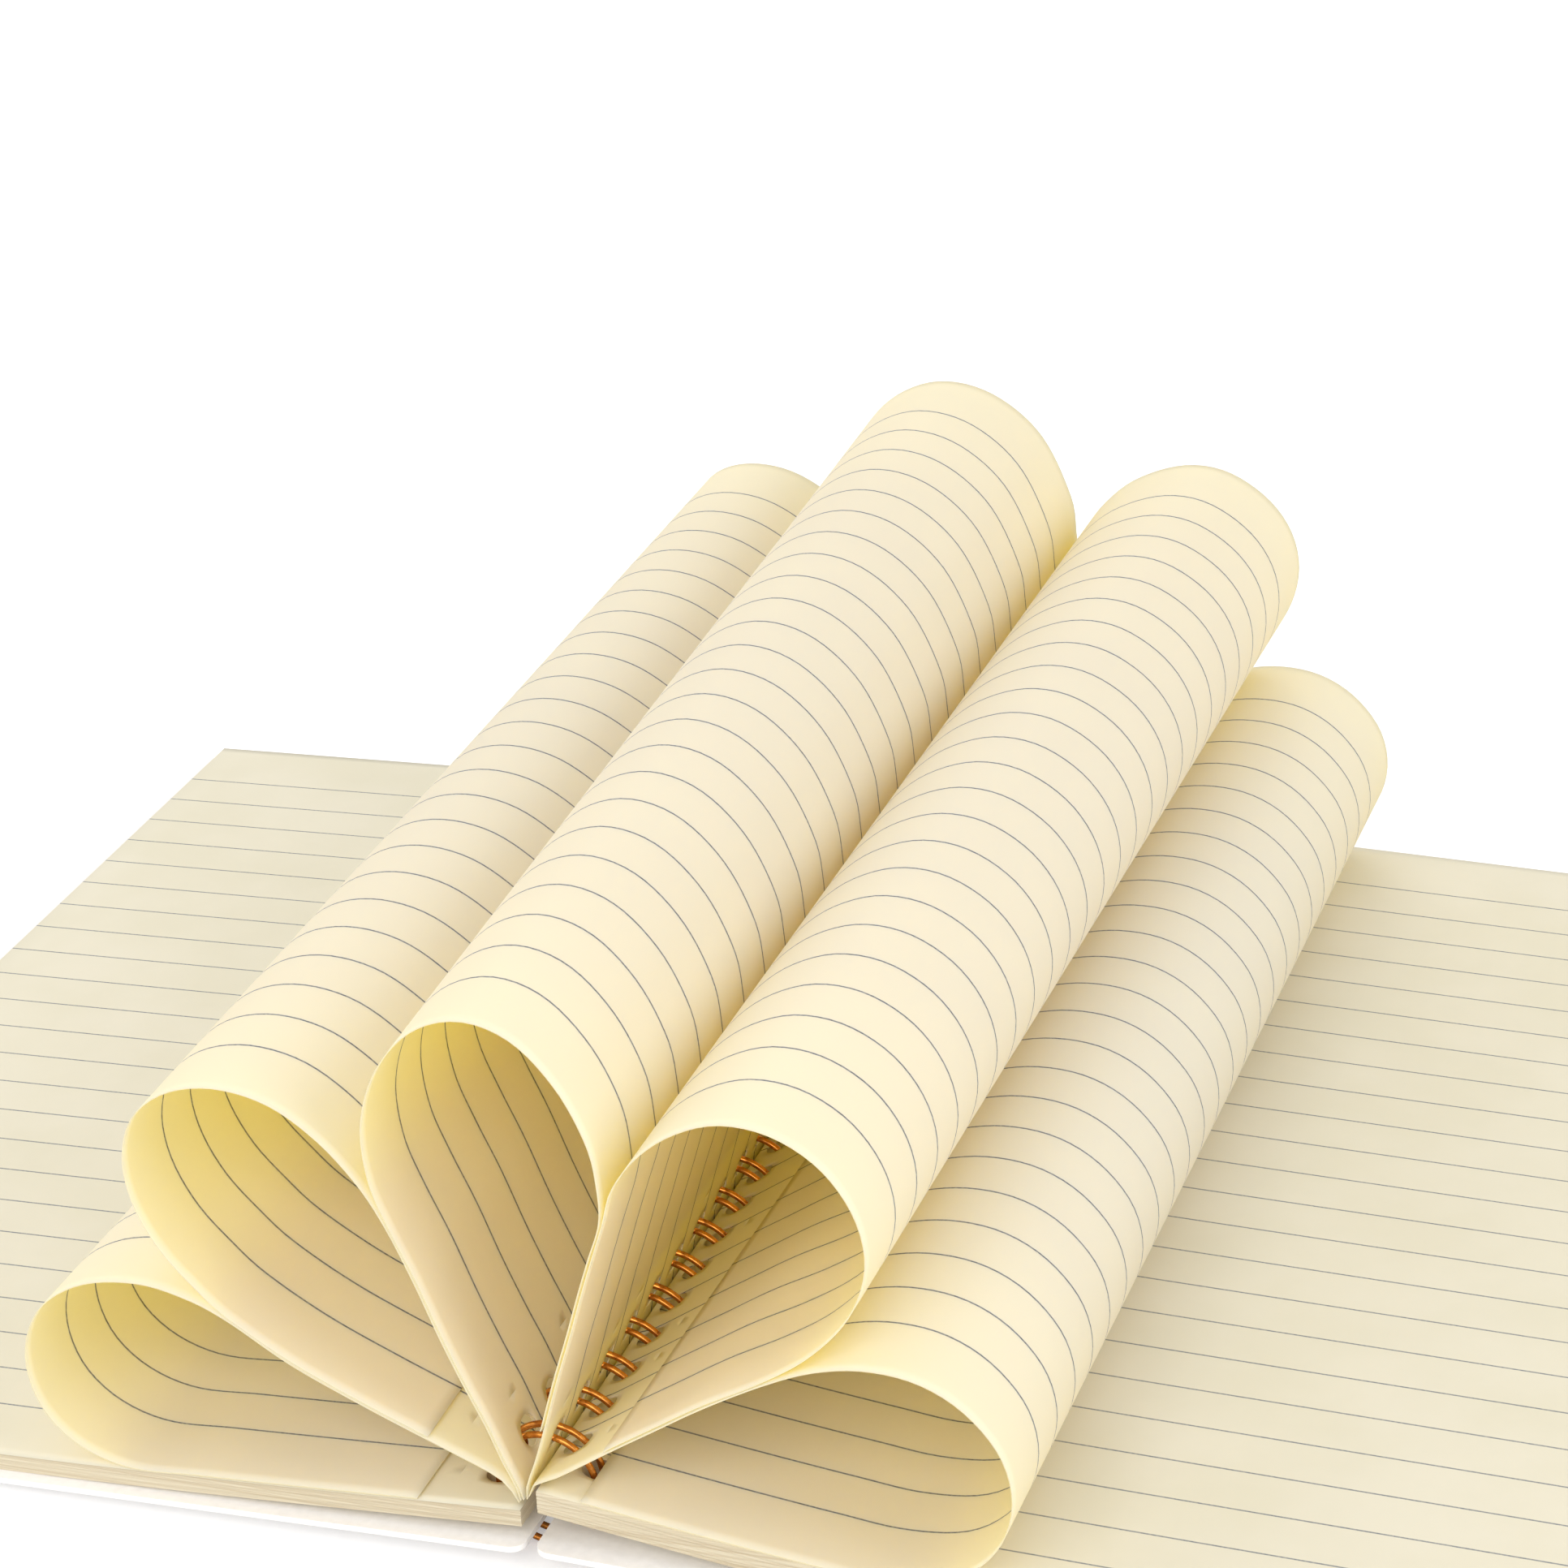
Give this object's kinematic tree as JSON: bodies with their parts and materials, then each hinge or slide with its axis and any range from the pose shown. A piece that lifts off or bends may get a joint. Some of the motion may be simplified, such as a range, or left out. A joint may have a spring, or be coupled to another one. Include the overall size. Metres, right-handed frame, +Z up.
{
  "type": "twin-wire notebook",
  "caption": "Ruled notebook bound with twin-loop wire, lying open on its covers, with loose leaves curled over into rolls above the wire.",
  "frame": {"origin": "on the table, under the wire, at the middle of the wire's length", "axes": "+Z up from the table, +Y along the wire from the pages' near end to their far end, +X towards the right-hand pages' fore edge"},
  "size_m": [0.2882, 0.213, 0.0761],
  "materials": {
    "wire": "satin copper-coloured coat on steel wire",
    "cover_card": "smooth uncoated pale card",
    "stacked_paper": "matte cream writing paper with fine grey rules",
    "leaf_paper": "matte cream writing paper with fine grey rules"
  },
  "bodies": {
    "book": {"twin_wire": "wire", "left_pages": "stacked_paper", "right_pages": "stacked_paper", "curled_leaf_1": "leaf_paper", "curled_leaf_2": "leaf_paper", "curled_leaf_3": "leaf_paper", "curled_leaf_4": "leaf_paper", "curled_leaf_5": "leaf_paper"},
    "front_board": {"front_cover": "cover_card"},
    "back_board": {"back_cover": "cover_card"}
  },
  "joints": [
    {"name": "front_cover_hinge", "type": "hinge", "parent": "book", "child": "front_board", "pos_m": [-0.00165, 0, 0.00435], "axis": [0, -1, 0], "range_deg": [0, 88]},
    {"name": "back_cover_hinge", "type": "hinge", "parent": "book", "child": "back_board", "pos_m": [0.00165, 0, 0.00435], "axis": [0, 1, 0], "range_deg": [0, 88]}
  ]
}
